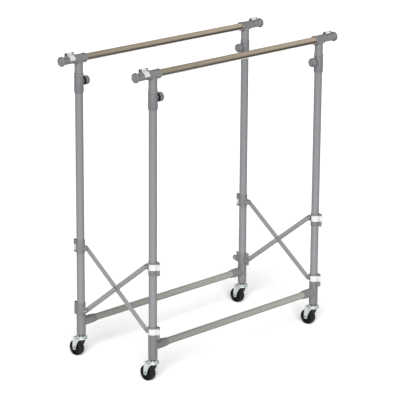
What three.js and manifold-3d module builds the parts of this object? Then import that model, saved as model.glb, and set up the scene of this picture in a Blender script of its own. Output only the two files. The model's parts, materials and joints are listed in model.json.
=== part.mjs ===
// Double garment rail: two height-adjustable hanging rails on a folding, wheeled frame.
// Millimetres, +Z up. X runs along the rails, Y from the front frame to the rear frame, and the
// origin is on the floor under the middle of the object.
import * as THREE from 'three';
import { mergeVertices } from 'three/addons/utils/BufferGeometryUtils.js';
import Module from 'manifold-3d';

const wasm = await Module();
wasm.setup();

// ---------------------------------------------------------------- driving dimensions
const POST_SPAN = 745; // between post axes, along the rails
const FRAME_DEPTH = 320; // between the front and rear post axes
const RAIL_Z = 960; // rail axis at the lowest setting
const GAP = 0.3; // running clearance between neighbouring pieces

const POST = { r: 12.5, bore: 11.3, bottom: 90.3, top: 878 };
const INNER = { r: 9.5, bore: 8.4, bottom: 160, top: 943.6 };
const RAIL = { r: 11, bore: 9.9 };
const ROD = { r: 9.5, bore: 8.4, length: 330 };
const CAP = { r: 15, thickness: 5.5 };
const BAR = { r: 11, bore: 9.8, z: 115.5, start: 15.8 };

// Top tee, measured from the post axis: the wide sleeve holds the rail, the slim one grips the rod.
const TEE = {
  wideR: 13.8, wideOut: -22, wideIn: 24.5, railEnd: -20.5,
  slimR: 11.9, slimOut: -69.5, slitEnd: -23.5, rodClear: 0.4,
  neckR: 13.2, neckBottom: 910.3, boreTop: 944,
  innerEar: [19, 24], outerEar: [45, 50],
};
// Sleeve that carries the height knob.
const COLLAR = { bottom: 855, top: 910, rTop: 14.5, rBottom: 14.9, boss: 7.5, bossEnd: 24.5, z: 889 };
const KNOB = { r: 14.6, back: 21.5, front: 36, recess: 8.3, floor: 25.2, stud: 3, hole: 3.4, tip: 9.9 };
// Lower tee that joins a post, a base bar and a caster.
const FOOT = { r: 14.3, bottom: 72.5, top: 137.7, postSeat: 90, barrel: 43, nose: 57, noseR: 12.2 };
const STEM = { r: 4, top: 88, hole: 4.4 };

// Post clamps, from their own axis: split ring, two ears with a pin, and a lug for the brace.
const CLAMP = { r: 14.2, bore: 12.8, height: 41.5, lowBottom: 138, rise: 205 };
const PIN = { r: 2, x: 3.5, y: -20, earR: 5 };
const TEE_PIN = { r: 2, x: 4.5, y: -18, earR: 4.6 };
const EAR = { root: 0.72, inset: 0.8, pinProud: 0.8, facets: 12 }; // root is a share of the ring's radius
const SLIT = { width: 1.5, clear: 0.2, depth: 4 };
const PINCH = { drop: 21, gap: 1.5 }; // ears closed by a screw: top of the clamp to the split, and the split
const LEVER = { height: 18.4, knuckle: 4.6, gap: 0.5, thickness: 2.8, tipR: 1.74, sweep: 98 };
const LUG = { reach: 27, r: 8.5, root: 13, start: 10 };
// Distance from a clamp's top down to its lever, which is high on front clamps and low on rear ones.
const LEVER_DROP = { front: 6, rear: 17 };

// Brace strips: flat-oval bars in two layers along X, riveted where they cross.
const STRIP = { width: 15, thickness: 3.6, edge: 1.4 };
const LAYER = { B: -5.2, A: -1.3 }; // low X face of each layer
const RIVET = { r: 2.6, hole: 2.9, head: 4.2, headT: 1.2 };

// Casters trail towards +Y.
const CASTER = {
  trail: 21, wheelR: 25, wheelWidth: 20, axle: 3, axleProud: 1.6, bore: 3.3,
  legIn: 11.3, legT: 2, crownR: 20, crownBottom: 60, crownTop: 63, raceR: 18.5, raceTop: 70.2,
};
// Fork leg in the YZ plane: its top edge, its round foot, and the bends of its front and back edges.
const LEG = { front: -14.5, back: 23.5, footR: 6.5, frontBend: [2, 53], backBend: [27.5, 45] };
const FRONT_REACH = -PIN.y + PIN.earR * Math.cos(Math.PI / EAR.facets); // clamp ears, in front of a post
const REAR_REACH = CASTER.trail + CASTER.wheelR; // wheels, behind a post

const yMiddle = (FRONT_REACH - REAR_REACH) / 2; // puts the origin under the middle of the box
const xPost = { left: -POST_SPAN / 2, right: POST_SPAN / 2 };
const yPost = { front: yMiddle - FRAME_DEPTH / 2, rear: yMiddle + FRAME_DEPTH / 2 };
const SIDES = ['left', 'right'];
const ENDS = ['front', 'rear'];
const ROUND = 16; // facets on most round parts
const WHEEL_FACETS = 28;

// ---------------------------------------------------------------- materials
const finish = (color, roughness, metalness) => ({ color, roughness, metalness });
const FINISH = {
  post: finish(0xa0a3a8, 0.45, 0.6),
  rail: finish(0xb5a592, 0.25, 1.0),
  bar: finish(0x969691, 0.5, 0.5),
  plastic: finish(0x949494, 0.6, 0.0),
  collar: finish(0x88888e, 0.6, 0.0),
  lever: finish(0xebebeb, 0.45, 0.0),
  brace: finish(0x8c8c8c, 0.5, 0.5),
  zinc: finish(0xd7e1dc, 0.3, 1.0),
  wheel: finish(0x161616, 0.6, 0.0),
  tube: finish(0xbcbec2, 0.3, 1.0),
};

// ---------------------------------------------------------------- solids
function toSolid(geometry) {
  const bare = geometry.clone();
  bare.deleteAttribute('normal');
  bare.deleteAttribute('uv');
  const merged = mergeVertices(bare, 1e-4);
  return new wasm.Manifold(new wasm.Mesh({
    numProp: 3,
    vertProperties: new Float32Array(merged.attributes.position.array),
    triVerts: new Uint32Array(merged.index.array),
  }));
}

function toGeometry(solid) {
  const mesh = solid.getMesh();
  const geometry = new THREE.BufferGeometry();
  geometry.setAttribute('position', new THREE.BufferAttribute(new Float32Array(mesh.vertProperties), 3));
  geometry.setIndex(new THREE.BufferAttribute(new Uint32Array(mesh.triVerts), 1));
  return geometry;
}

const join = (...solids) => solids.reduce((sum, s) => sum.add(s));
const cut = (solid, ...tools) => tools.reduce((rest, t) => rest.subtract(t), solid);

// A profile of [radius, height] points turned about Z, then laid along X if asked.
function turned(profile, { axis = 'z', at = [0, 0, 0], facets = ROUND } = {}) {
  const points = profile.map(([r, h]) => new THREE.Vector2(r, h));
  const geometry = new THREE.LatheGeometry(points, facets);
  geometry.rotateX(Math.PI / 2);
  geometry.rotateZ(Math.PI / facets);
  if (axis === 'x') {
    geometry.rotateY(Math.PI / 2);
  }
  geometry.translate(...at);
  return toSolid(geometry);
}

function rod(r, from, to, options) {
  return turned([[0, from], [r, from], [r, to], [0, to]], options);
}

function box([x0, x1], [y0, y1], [z0, z1]) {
  const geometry = new THREE.BoxGeometry(x1 - x0, y1 - y0, z1 - z0);
  geometry.translate((x0 + x1) / 2, (y0 + y1) / 2, (z0 + z1) / 2);
  return toSolid(geometry);
}

// An outline in the YZ plane given thickness from x0 to x1.
function plateX(shape, x0, x1, curveSegments = 8) {
  const geometry = new THREE.ExtrudeGeometry(shape, { depth: x1 - x0, bevelEnabled: false, curveSegments });
  const axes = new THREE.Matrix4().makeBasis(
    new THREE.Vector3(0, 1, 0),
    new THREE.Vector3(0, 0, 1),
    new THREE.Vector3(1, 0, 0),
  );
  geometry.applyMatrix4(axes);
  geometry.translate(x0, 0, 0);
  return toSolid(geometry);
}

// An outline in the XY plane given height from z0 to z1.
function plateZ(shape, z0, z1, curveSegments = 8) {
  const geometry = new THREE.ExtrudeGeometry(shape, { depth: z1 - z0, bevelEnabled: false, curveSegments });
  geometry.translate(0, 0, z0);
  return toSolid(geometry);
}

function tube({ r, bore }, from, to, options) {
  return turned([[bore, from], [r, from], [r, to], [bore, to], [bore, from]], options);
}

// ---------------------------------------------------------------- lever clamps
// Both the post clamps and the slim end of the top tee are split rings with an ear above and
// below a lever. They are drawn around Z, with the pin on the -Y side and the lever on the -X side.
function ears(ring, pin, levels) {
  const place = { at: [pin.x, pin.y, 0], facets: EAR.facets };
  const pads = levels.map(([z0, z1]) => join(
    box([pin.x - pin.earR, pin.x + pin.earR], [pin.y, -ring * EAR.root], [z0, z1]),
    rod(pin.earR, z0, z1, place),
  ));
  const low = Math.min(...levels.flat()) - EAR.pinProud;
  const high = Math.max(...levels.flat()) + EAR.pinProud;
  return join(...pads, rod(pin.r, low, high, place));
}

function slit(ring, pin, z0, z1) {
  const right = pin.x - pin.earR - SLIT.clear;
  return box([right - SLIT.width, right], [-ring - SLIT.depth, -ring + SLIT.depth], [z0 - 1, z1 + 1]);
}

function leverSolid(ring, pin) {
  const inner = ring + LEVER.gap;
  const outer = inner + LEVER.thickness;
  const start = Math.atan2(pin.y, pin.x);
  const end = start - THREE.MathUtils.degToRad(LEVER.sweep);
  const strap = new THREE.Shape();
  strap.absarc(0, 0, outer, start, end, true);
  strap.absarc(0, 0, inner, end, start, false);
  const middle = (inner + outer) / 2;
  const tip = rod(LEVER.tipR, 0, LEVER.height, {
    at: [middle * Math.cos(end), middle * Math.sin(end), 0], facets: 8,
  });
  const onPin = { at: [pin.x, pin.y, 0], facets: 12 };
  const knuckle = rod(LEVER.knuckle, 0, LEVER.height, onPin);
  const hole = rod(pin.r + GAP, -1, LEVER.height + 1, onPin);
  return cut(join(plateZ(strap, 0, LEVER.height, 8), tip, knuckle), hole);
}

// Plate that carries a brace pivot, with its hole, standing out along +Y.
function lug(x0, thickness, z) {
  const outline = new THREE.Shape();
  outline.moveTo(LUG.start, z - LUG.root);
  outline.lineTo(LUG.reach - 2, z - LUG.r);
  outline.absarc(LUG.reach, z, LUG.r, -Math.PI / 2, Math.PI / 2, false);
  outline.lineTo(LUG.start, z + LUG.root);
  outline.closePath();
  return plateX(outline, x0, x0 + thickness, 4);
}

function lugHole(z) {
  return rod(RIVET.hole, -20, 20, { axis: 'x', at: [0, LUG.reach, z] });
}

// lugX is the low X face of the lug in the clamp's own frame; leverDrop is null where the clamp is
// pinched by a screw instead of a lever.
function clampSolid({ bottom, lugX, lugT, leverDrop }) {
  const top = bottom + CLAMP.height;
  const pivotZ = bottom + CLAMP.height / 2;
  const leverTop = top - (leverDrop ?? PINCH.drop);
  const leverBottom = leverTop - (leverDrop === null ? PINCH.gap : LEVER.height + 2 * GAP);
  const pads = ears(CLAMP.r, PIN, [[bottom + EAR.inset, leverBottom], [leverTop, top - EAR.inset]]);
  return cut(
    join(
      tube(CLAMP, bottom, top),
      cut(join(lug(lugX, lugT, pivotZ), pads), rod(CLAMP.bore, bottom - 1, top + 1)),
    ),
    slit(CLAMP.r, PIN, bottom, top),
    lugHole(pivotZ),
  );
}

// ---------------------------------------------------------------- pieces
const postSolid = () => tube(POST, POST.bottom, POST.top);
const innerTubeSolid = () => tube(INNER, INNER.bottom, INNER.top);

function railSolid() {
  const end = POST_SPAN / 2 - TEE.railEnd;
  return tube(RAIL, -end, end, { axis: 'x' });
}

function baseBarSolid() {
  const end = POST_SPAN / 2 - BAR.start;
  return tube(BAR, -end, end, { axis: 'x' });
}

// The tee of a left post: its slim sleeve points to -X.
function topTeeSolid() {
  const along = { axis: 'x', at: [0, 0, RAIL_Z] };
  return cut(
    join(
      rod(TEE.neckR, TEE.neckBottom, RAIL_Z),
      rod(TEE.wideR, TEE.wideOut, TEE.wideIn, along),
      rod(TEE.slimR, TEE.slimOut, TEE.wideOut + 1, along),
      lay(ears(TEE.slimR, TEE_PIN, [TEE.innerEar, TEE.outerEar])),
    ),
    rod(RAIL.r + GAP, TEE.railEnd - 0.5, TEE.wideIn + 1, along),
    rod(ROD.r + TEE.rodClear, TEE.slimOut - 1, TEE.railEnd, along),
    rod(INNER.r + GAP, TEE.neckBottom - 1, TEE.boreTop),
    lay(slit(TEE.slimR, TEE_PIN, -TEE.slitEnd, -TEE.slimOut)),
  );
}

// Turns a clamp drawn around Z so that it sits around the slim sleeve: pin on top, lever in front.
const layMatrix = new THREE.Matrix4().makeBasis(
  new THREE.Vector3(0, 1, 0),
  new THREE.Vector3(0, 0, -1),
  new THREE.Vector3(-1, 0, 0),
).setPosition(0, 0, RAIL_Z);

function lay(solid) {
  return toSolid(toGeometry(solid).applyMatrix4(layMatrix));
}

// The lever sits midway between the two ears.
function topLeverSolid() {
  const start = (TEE.innerEar[1] + TEE.outerEar[0] - LEVER.height) / 2;
  const lever = toGeometry(leverSolid(TEE.slimR, TEE_PIN)).translate(0, 0, start);
  return toSolid(lever.applyMatrix4(layMatrix));
}

// Extension rod of a left tee, with the round stop on its outer end.
function rodSolid() {
  const stop = TEE.slimOut - GAP;
  const barrel = tube(ROD, stop - 1, stop + ROD.length, { axis: 'x', at: [0, 0, RAIL_Z] });
  const cap = turned([
    [0, stop - CAP.thickness], [CAP.r - 1.5, stop - CAP.thickness], [CAP.r, stop - CAP.thickness + 1.2],
    [CAP.r, stop - 0.8], [CAP.r - 0.8, stop], [0, stop],
  ], { axis: 'x', at: [0, 0, RAIL_Z] });
  return join(barrel, cap);
}

// Height collar of a left post: its boss points to +X.
function heightCollarSolid() {
  const { bottom, top, rTop, rBottom, boss, bossEnd, z } = COLLAR;
  const step = POST.top + GAP;
  const body = turned([
    [POST.r + GAP, bottom], [rBottom - 1, bottom], [rBottom, bottom + 2.5], [rTop, top - 1.2],
    [rTop - 1.2, top], [INNER.r + GAP, top], [INNER.r + GAP, step], [POST.r + GAP, step],
    [POST.r + GAP, bottom],
  ]);
  const along = { axis: 'x', at: [0, 0, z] };
  const spigot = cut(
    rod(boss, 0, bossEnd, { ...along, facets: 20 }),
    rod(POST.r + GAP, bottom, step),
    rod(INNER.r + GAP, step - 1, top),
  );
  return cut(join(body, spigot), rod(KNOB.hole, 0, bossEnd + 1, { ...along, facets: 12 }));
}

function knobSolid() {
  const { r, back, front, recess, floor, stud, tip } = KNOB;
  return turned([
    [0, tip], [stud, tip], [stud, floor], [recess, floor], [recess, back], [r - 0.6, back], [r, back + 0.8],
    [r, front - 2], [r - 1.6, front - 0.6], [r - 4, front], [0, front],
  ], { axis: 'x', at: [0, 0, COLLAR.z] });
}

// Lower tee of a left post: its socket points to +X.
function footSolid() {
  const body = turned([
    [0, FOOT.bottom], [FOOT.r - 3, FOOT.bottom], [FOOT.r - 0.8, FOOT.bottom + 1.4], [FOOT.r, FOOT.bottom + 4],
    [FOOT.r, FOOT.top], [0, FOOT.top],
  ]);
  const socket = turned([
    [0, 0], [FOOT.r, 0], [FOOT.r, FOOT.barrel], [FOOT.noseR, FOOT.nose], [0, FOOT.nose],
  ], { axis: 'x', at: [0, 0, BAR.z] });
  return cut(
    join(body, socket),
    rod(POST.r + GAP, FOOT.postSeat, FOOT.top + 1),
    rod(BAR.r + GAP, BAR.start - GAP, FOOT.nose + 1, { axis: 'x', at: [0, 0, BAR.z] }),
    rod(STEM.hole, FOOT.bottom - 1, FOOT.postSeat + 1),
  );
}

function halfTurned(solid) {
  return toSolid(toGeometry(solid).rotateZ(Math.PI));
}

// Rear lower tees carry their brace bracket as one moulding, pinched by a screw.
function rearFootSolid(bracket) {
  const neck = tube({ r: CLAMP.r - 0.7, bore: CLAMP.bore }, FOOT.top - 1, CLAMP.lowBottom + 1);
  return join(footSolid(), neck, halfTurned(bracket));
}

// Outline of a strip between two pivots, with round ends.
function stripSolid([y0, z0], [y1, z1], x0) {
  const length = Math.hypot(y1 - y0, z1 - z0);
  const angle = Math.atan2(z1 - z0, y1 - y0);
  const half = STRIP.width / 2;
  const layerAt = (radius, a, b) => {
    const outline = new THREE.Shape();
    outline.absarc(0, 0, radius, Math.PI / 2, -Math.PI / 2 + 2 * Math.PI, false);
    outline.absarc(length, 0, radius, -Math.PI / 2, Math.PI / 2, false);
    outline.closePath();
    const geometry = toGeometry(plateX(outline, a, b, 5));
    geometry.rotateX(angle);
    geometry.translate(0, y0, z0);
    return toSolid(geometry);
  };
  const x1 = x0 + STRIP.thickness;
  return join(
    layerAt(half - STRIP.edge * 0.5, x0, x1),
    layerAt(half, x0 + STRIP.edge * 0.6, x1 - STRIP.edge * 0.6),
  );
}

// Rivet shank from one X to another, with a head past its far end.
function rivet(from, to, [y, z]) {
  const way = Math.sign(to - from);
  const span = [from, to + way * 0.5].sort((a, b) => a - b);
  const head = [to, to + way * RIVET.headT].sort((a, b) => a - b);
  return join(
    rod(RIVET.r, span[0], span[1], { axis: 'x', at: [0, y, z], facets: 12 }),
    rod(RIVET.head, head[0], head[1], { axis: 'x', at: [0, y, z] }),
  );
}

// ---------------------------------------------------------------- brace geometry
const lowZ = CLAMP.lowBottom + CLAMP.height / 2;
const highZ = lowZ + CLAMP.rise;
const pivot = {
  frontLow: [yPost.front + LUG.reach, lowZ],
  frontHigh: [yPost.front + LUG.reach, highZ],
  rearLow: [yPost.rear - LUG.reach, lowZ],
  rearHigh: [yPost.rear - LUG.reach, highZ],
};
const crossing = [yMiddle, (lowZ + highZ) / 2];
const faceA = [LAYER.A, LAYER.A + STRIP.thickness];
const faceB = [LAYER.B, LAYER.B + STRIP.thickness];
// Lugs fill the step between the strip they hold and the outside of the stack. Front lugs lie on
// the +X side of the strips, rear lugs on the -X side.
const LUG_T = { high: 5, low: 4 };
const LUG_X = {
  frontHigh: { low: faceB[1] + GAP, t: LUG_T.high },
  frontLow: { low: faceA[1] + GAP, t: LUG_T.low },
  rearHigh: { low: faceA[0] - GAP - LUG_T.high, t: LUG_T.high },
  rearLow: { low: faceB[0] - GAP - LUG_T.low, t: LUG_T.low },
};
const farFace = (place) => LUG_X[place].low + LUG_X[place].t + GAP;
const nearFace = (place) => LUG_X[place].low - GAP;

function braceASolid() {
  return join(
    stripSolid(pivot.frontLow, pivot.rearHigh, LAYER.A),
    rivet(faceA[1] - 1, farFace('frontLow'), pivot.frontLow),
    rivet(faceA[0] + 1, nearFace('rearHigh'), pivot.rearHigh),
    rivet(faceA[0] + 1, faceB[0] - GAP, crossing),
  );
}

function braceBSolid() {
  return join(
    cut(
      stripSolid(pivot.rearLow, pivot.frontHigh, LAYER.B),
      rod(RIVET.hole, LAYER.B - 5, LAYER.A + 5, { axis: 'x', at: [0, ...crossing] }),
    ),
    rivet(faceB[1] - 1, farFace('frontHigh'), pivot.frontHigh),
    rivet(faceB[0] + 1, nearFace('rearLow'), pivot.rearLow),
  );
}

// ---------------------------------------------------------------- casters
function forkSolid() {
  const c = CASTER;
  const leg = new THREE.Shape();
  leg.moveTo(LEG.front, c.crownBottom + 1);
  leg.quadraticCurveTo(...LEG.frontBend, c.trail - LEG.footR, c.wheelR);
  leg.absarc(c.trail, c.wheelR, LEG.footR, Math.PI, Math.PI * 2, false);
  leg.quadraticCurveTo(...LEG.backBend, LEG.back, c.crownBottom + 1);
  leg.closePath();
  const legs = [-1, 1].map((way) => {
    const faces = [way * c.legIn, way * (c.legIn + c.legT)].sort((a, b) => a - b);
    return plateX(leg, faces[0], faces[1], 4);
  });
  const outside = c.legIn + c.legT;
  const crown = join(
    rod(c.crownR, c.crownBottom, c.crownTop, {}),
    box([-outside, outside], [0, LEG.back], [c.crownBottom, c.crownTop]),
  );
  const race = turned([
    [0, c.crownTop - 1], [c.raceR - 3, c.crownTop - 1], [c.raceR - 3, c.crownTop + 1.2],
    [c.raceR, c.crownTop + 1.6], [c.raceR, c.raceTop - 2], [c.raceR - 5, c.raceTop], [0, c.raceTop],
  ]);
  const axleEnd = outside + c.axleProud;
  return join(
    crown,
    race,
    ...legs,
    rod(STEM.r, c.raceTop - 1, STEM.top),
    rod(c.axle, -axleEnd, axleEnd, { axis: 'x', at: [0, c.trail, c.wheelR] }),
  );
}

function wheelSolid() {
  const c = CASTER;
  const half = c.wheelWidth / 2;
  const tread = c.wheelR / Math.cos(Math.PI / WHEEL_FACETS); // true size across the flats
  return turned([
    [c.bore, -half], [tread - 2, -half], [tread, -half + 2.5], [tread, half - 2.5],
    [tread - 2, half], [c.bore, half], [c.bore, -half],
  ], { axis: 'x', at: [0, c.trail, c.wheelR], facets: WHEEL_FACETS });
}

// ---------------------------------------------------------------- assembly
const group = new THREE.Group();
group.name = 'garment_rail';

function add(name, solid, look, parent = group) {
  const geometry = solid.isBufferGeometry ? solid : toGeometry(solid);
  geometry.computeVertexNormals();
  const mesh = new THREE.Mesh(geometry, new THREE.MeshStandardMaterial(FINISH[look]));
  mesh.name = name;
  parent.add(mesh);
  return mesh;
}

// A group on a post axis, turned half round about Z where the piece faces the other way.
function station(end, side, halfTurn = false) {
  const spot = new THREE.Group();
  spot.position.set(xPost[side], yPost[end], 0);
  spot.rotation.z = halfTurn ? Math.PI : 0;
  group.add(spot);
  return spot;
}

const leverZ = (bottom, drop) => bottom + CLAMP.height - drop - GAP - LEVER.height;

for (const end of ENDS) {
  const beam = new THREE.Group();
  beam.position.set(0, yPost[end], 0);
  group.add(beam);
  const railMesh = add(`${end}_rail`, railSolid(), 'rail', beam);
  railMesh.position.z = RAIL_Z;
  const barMesh = add(`${end}_base_bar`, baseBarSolid(), 'bar', beam);
  barMesh.position.z = BAR.z;

  for (const side of SIDES) {
    const tag = `${end}_${side}`;
    const plain = station(end, side);
    const inward = station(end, side, side === 'right');
    add(`${tag}_post`, postSolid(), 'post', plain);
    add(`${tag}_inner_tube`, innerTubeSolid(), 'tube', plain);
    add(`${tag}_height_collar`, heightCollarSolid(), 'collar', inward);
    add(`${tag}_height_knob`, knobSolid(), 'collar', inward);
    add(`${tag}_top_tee`, topTeeSolid(), 'plastic', inward);
    add(`${tag}_rail_lever`, topLeverSolid(), 'lever', inward);
    add(`${tag}_extension_rod`, rodSolid(), 'plastic', inward);
    add(`${tag}_caster_fork`, forkSolid(), 'zinc', plain);
    add(`${tag}_caster_wheel`, wheelSolid(), 'wheel', plain);
  }
}

for (const side of SIDES) {
  const front = station('front', side);
  const rear = station('rear', side, true);
  const inward = station('front', side, side === 'right');
  const highBottom = CLAMP.lowBottom + CLAMP.rise;

  add(`front_${side}_lower_tee`, footSolid(), 'plastic', inward);
  add(`front_${side}_lower_clamp`, clampSolid({
    bottom: CLAMP.lowBottom, lugX: LUG_X.frontLow.low, lugT: LUG_X.frontLow.t, leverDrop: LEVER_DROP.front,
  }), 'plastic', front);
  add(`front_${side}_upper_clamp`, clampSolid({
    bottom: highBottom, lugX: LUG_X.frontHigh.low, lugT: LUG_X.frontHigh.t, leverDrop: LEVER_DROP.front,
  }), 'plastic', front);
  add(`rear_${side}_upper_clamp`, clampSolid({
    bottom: highBottom, lugX: -LUG_X.rearHigh.low - LUG_X.rearHigh.t, lugT: LUG_X.rearHigh.t,
    leverDrop: LEVER_DROP.rear,
  }), 'plastic', rear);

  const lever = leverSolid(CLAMP.r, PIN);
  const leverPlaces = [
    [`front_${side}_lower_lever`, front, CLAMP.lowBottom, LEVER_DROP.front],
    [`front_${side}_upper_lever`, front, highBottom, LEVER_DROP.front],
    [`rear_${side}_upper_lever`, rear, highBottom, LEVER_DROP.rear],
  ];
  for (const [name, place, bottom, drop] of leverPlaces) {
    add(name, lever, 'lever', place).position.z = leverZ(bottom, drop);
  }

  // The rear lower bracket turns with the tee, so its lug is drawn for the side it ends up on.
  const flip = side === 'right' ? -1 : 1;
  const bracketLow = flip === 1 ? -LUG_X.rearLow.low - LUG_X.rearLow.t : LUG_X.rearLow.low;
  const bracket = clampSolid({
    bottom: CLAMP.lowBottom, lugX: bracketLow, lugT: LUG_X.rearLow.t, leverDrop: null,
  });
  const rearFoot = rearFootSolid(flip === 1 ? bracket : halfTurned(bracket));
  add(`rear_${side}_lower_tee`, rearFoot, 'plastic', station('rear', side, side === 'right'));

  const braces = new THREE.Group();
  braces.position.x = xPost[side];
  group.add(braces);
  add(`${side}_brace_a`, braceASolid(), 'brace', braces);
  add(`${side}_brace_b`, braceBSolid(), 'brace', braces);
}

export default group;
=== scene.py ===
"""Looks of the double garment rail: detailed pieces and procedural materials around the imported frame.

Shapes are drawn in millimetres around the axis of the post they belong to, then placed in the row
frame, which is in metres. Positions and sizes that the frame knows are read from it.
"""

import json
import math

import bmesh
import bpy
from mathutils import Matrix, Vector


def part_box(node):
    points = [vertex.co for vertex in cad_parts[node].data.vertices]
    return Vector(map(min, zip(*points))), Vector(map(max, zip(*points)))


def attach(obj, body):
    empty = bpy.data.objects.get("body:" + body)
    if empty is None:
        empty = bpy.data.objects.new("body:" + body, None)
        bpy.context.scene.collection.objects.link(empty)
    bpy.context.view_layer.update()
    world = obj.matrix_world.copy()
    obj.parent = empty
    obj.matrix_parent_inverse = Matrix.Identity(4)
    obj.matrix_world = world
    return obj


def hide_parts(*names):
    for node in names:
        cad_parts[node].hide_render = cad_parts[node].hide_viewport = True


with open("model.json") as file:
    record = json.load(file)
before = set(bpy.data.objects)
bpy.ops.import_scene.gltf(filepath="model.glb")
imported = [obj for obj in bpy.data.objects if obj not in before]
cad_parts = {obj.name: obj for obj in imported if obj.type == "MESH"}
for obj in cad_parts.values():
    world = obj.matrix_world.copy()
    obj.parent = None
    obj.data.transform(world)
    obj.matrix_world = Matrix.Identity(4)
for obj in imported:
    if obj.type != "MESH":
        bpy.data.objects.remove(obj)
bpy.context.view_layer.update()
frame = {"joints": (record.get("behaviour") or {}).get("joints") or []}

MM = 0.001
SIDES = ("left", "right")
ENDS = ("front", "rear")
ROUND = 64  # segments on the larger round shapes
SMALL = 32  # segments on pins, screws and rivets
SHARP = math.radians(32)  # edges sharper than this are drawn sharp


# ------------------------------------------------------------------ sizes read from the frame
def low(node):
    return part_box(node)[0] / MM


def high(node):
    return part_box(node)[1] / MM


def middle(node):
    return (low(node) + high(node)) / 2


POST_AXIS = {(e, s): Vector((*middle(f"{e}_{s}_post")[:2], 0)) for e in ENDS for s in SIDES}
RAIL_Z = middle("front_rail").z
BAR_Z = middle("front_base_bar").z
KNOB_Z = middle("front_left_height_knob").z
COLLAR_LOW, COLLAR_TOP = low("front_left_height_collar").z, high("front_left_height_collar").z
POST_LOW, POST_TOP = low("front_left_post").z, high("front_left_post").z
TUBE_LOW, TUBE_TOP = low("front_left_inner_tube").z, high("front_left_inner_tube").z
RAIL_HALF = high("front_rail").x
BAR_HALF = high("front_base_bar").x
FOOT_LOW = low("front_left_lower_tee").z
CLAMP_LOW = low("front_left_lower_clamp").z
CLAMP_HIGH = low("front_left_upper_clamp").z
CLAMP_TALL = high("front_left_lower_clamp").z - CLAMP_LOW
TEE_OUT = POST_AXIS["front", "left"].x - low("front_left_top_tee").x
TEE_IN = high("front_left_top_tee").x - POST_AXIS["front", "left"].x
TEE_LOW = low("front_left_top_tee").z
LEVER_TALL = high("front_left_upper_lever").z - low("front_left_upper_lever").z
ROD_OUT = POST_AXIS["front", "left"].x - low("front_left_extension_rod").x
ROD_LENGTH = high("front_left_extension_rod").x - low("front_left_extension_rod").x
AXLE_Z = middle("front_left_caster_wheel").z
WHEEL_R = AXLE_Z
TRAIL = middle("front_left_caster_wheel").y - POST_AXIS["front", "left"].y
WHEEL_WIDE = high("front_left_caster_wheel").x - low("front_left_caster_wheel").x
KNOB_R = (high("front_left_height_knob").z - low("front_left_height_knob").z) / 2
KNOB_FRONT = high("front_left_height_knob").x - POST_AXIS["front", "left"].x


# ------------------------------------------------------------------ mesh tools
def arc_points(centre, radius, start, end, steps):
    """Points on an arc, angles in degrees, both ends included."""
    found = []
    for i in range(steps + 1):
        a = math.radians(start + (end - start) * i / steps)
        found.append((centre[0] + radius * math.cos(a), centre[1] + radius * math.sin(a)))
    return found


def filleted(points, closed, steps=4):
    """The outline with each corner that has a third value rounded to that radius."""
    count = len(points)
    found = []
    for i, p in enumerate(points):
        here = Vector(p[:2])
        radius = p[2] if len(p) > 2 else 0
        at_end = not closed and i in (0, count - 1)
        if radius == 0 or at_end:
            found.append(tuple(here))
            continue
        back = (Vector(points[i - 1][:2]) - here).normalized()
        ahead = (Vector(points[(i + 1) % count][:2]) - here).normalized()
        half = back.angle(ahead) / 2
        if half > math.radians(89):
            found.append(tuple(here))
            continue
        reach = radius / math.tan(half)
        first, last = here + back * reach, here + ahead * reach
        centre = here + (back + ahead).normalized() * (radius / math.sin(half))
        for k in range(steps + 1):
            t = k / steps
            spoke = (first - centre).slerp(last - centre, t) if 0 < t < 1 else None
            found.append(tuple(centre + spoke) if spoke else tuple(first if t == 0 else last))
    return found


def as_object(bm, name="shape"):
    bmesh.ops.recalc_face_normals(bm, faces=bm.faces)
    mesh = bpy.data.meshes.new(name)
    bm.to_mesh(mesh)
    bm.free()
    obj = bpy.data.objects.new(name, mesh)
    bpy.context.scene.collection.objects.link(obj)
    return obj


TURNS = {
    "z": Matrix.Identity(4),
    "x": Matrix.Rotation(math.pi / 2, 4, "Y"),
    "y": Matrix.Rotation(-math.pi / 2, 4, "X"),
}


def turned(profile, axis="z", at=(0, 0, 0), segments=ROUND, steps=4, flutes=None):
    """A profile of (radius, height) or (radius, height, fillet) turned about an axis.

    A profile that starts away from the axis closes on itself. flutes is (count, depth, radius):
    points beyond that radius wave in by the depth.
    """
    solid = profile[0][0] == 0
    outline = filleted(profile, closed=not solid, steps=steps)
    bm = bmesh.new()
    rings = []
    for r, h in outline:
        if r < 1e-6:
            rings.append([bm.verts.new((0, 0, h))])
            continue
        ring = []
        for i in range(segments):
            a = 2 * math.pi * i / segments
            wave = 0
            if flutes and r > flutes[2]:
                wave = flutes[1] * (0.5 - 0.5 * math.cos(flutes[0] * a)) ** 2
            ring.append(bm.verts.new(((r - wave) * math.cos(a), (r - wave) * math.sin(a), h)))
        rings.append(ring)
    pairs = list(zip(rings, rings[1:]))
    if not solid:
        pairs.append((rings[-1], rings[0]))
    for a, b in pairs:
        for i in range(segments):
            j = (i + 1) % segments
            corners = [a[i % len(a)], a[j % len(a)], b[j % len(b)], b[i % len(b)]]
            unique = list(dict.fromkeys(corners))
            if len(unique) > 2:
                bm.faces.new(unique)
    bm.transform(Matrix.Translation(at) @ TURNS[axis])
    return as_object(bm)


def tube(r, bore, start, end, lip=0.3, **options):
    return turned(
        [(bore, start, lip), (r, start, lip), (r, end, lip), (bore, end, lip)], steps=2, **options
    )


def pin(r, start, end, edge=0.4, segments=SMALL, **options):
    return turned([(0, start), (r, start, edge), (r, end, edge), (0, end)], segments=segments, **options)


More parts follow.
